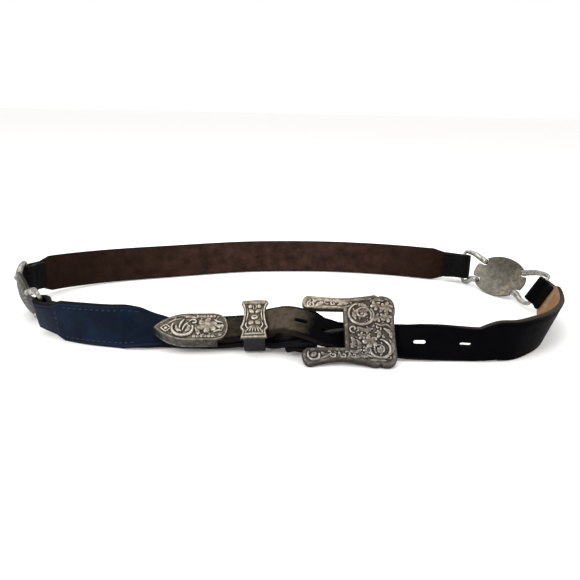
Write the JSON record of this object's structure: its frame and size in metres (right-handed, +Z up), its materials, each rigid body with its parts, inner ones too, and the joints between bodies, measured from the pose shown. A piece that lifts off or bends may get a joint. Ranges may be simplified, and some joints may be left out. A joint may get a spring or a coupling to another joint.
{
  "type": "concho belt",
  "caption": "Leather belt in three straps joined by oval metal conchos on horn-shaped rings, with a C-shaped buckle, keeper and tip.",
  "frame": {"origin": "centre of the belt's footprint, on the surface that it stands on", "axes": "+X along the belt's long way, from the tip towards the right concho; the buckle faces -Y; +Z up"},
  "size_m": [0.3712, 0.2012, 0.0305],
  "materials": {
    "strap_leather": "glossy finished leather, brown flesh side",
    "antiqued_silver": "antiqued silver plate with dark recesses",
    "plain_silver": "worn satin silver"
  },
  "bodies": {
    "root": {"back_strap": "strap_leather", "buckle_strap": "strap_leather", "billet_strap": "strap_leather", "buckle_frame": "antiqued_silver", "buckle_tongue": "antiqued_silver", "keeper": "antiqued_silver", "belt_tip": "antiqued_silver", "concho_right": "plain_silver", "concho_left": "plain_silver", "ring_right_front": "plain_silver", "ring_right_back": "plain_silver", "ring_left_back": "plain_silver", "ring_left_front": "plain_silver"}
  },
  "joints": []
}
